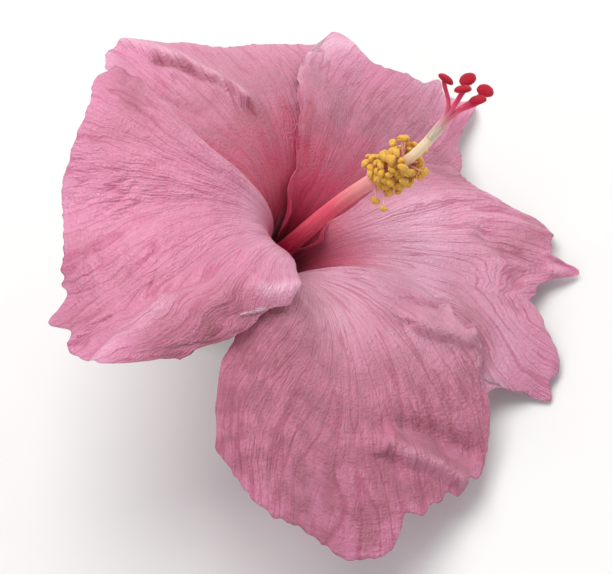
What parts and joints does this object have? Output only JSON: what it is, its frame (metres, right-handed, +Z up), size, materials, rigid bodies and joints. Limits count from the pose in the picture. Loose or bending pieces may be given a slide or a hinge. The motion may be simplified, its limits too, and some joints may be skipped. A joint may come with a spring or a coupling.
{
  "type": "hibiscus flower",
  "caption": "Open hibiscus flower with ruffled pink petals, a long stamen column with a branched style, green calyx and short stalk, lying on a surface.",
  "frame": {"origin": "centre of the flower's footprint box, on the surface that it lies on", "axes": "+Z up from the surface; +X to the right of someone who looks into the open face from the front, the way the flower's axis leans; +Y away from them"},
  "size_m": [0.096, 0.118, 0.0621],
  "materials": {
    "petal": "thin soft petal tissue, matte with a faint silky sheen, deeper pink veins and a crimson throat",
    "column": "smooth waxy column, deep red at the foot to coral above, with golden yellow anthers",
    "style": "smooth cream style turning pink, with velvety crimson stigma pads",
    "calyx": "leafy green with fine lengthwise veins",
    "stalk": "green stalk, faintly ribbed and downy, cut clean at its end"
  },
  "bodies": {
    "root": {"petal_right": "petal", "petal_top_right": "petal", "petal_top_left": "petal", "petal_left": "petal", "petal_bottom": "petal", "staminal_column": "column", "style": "style", "calyx": "calyx", "epicalyx": "calyx", "pedicel": "stalk"}
  },
  "joints": []
}
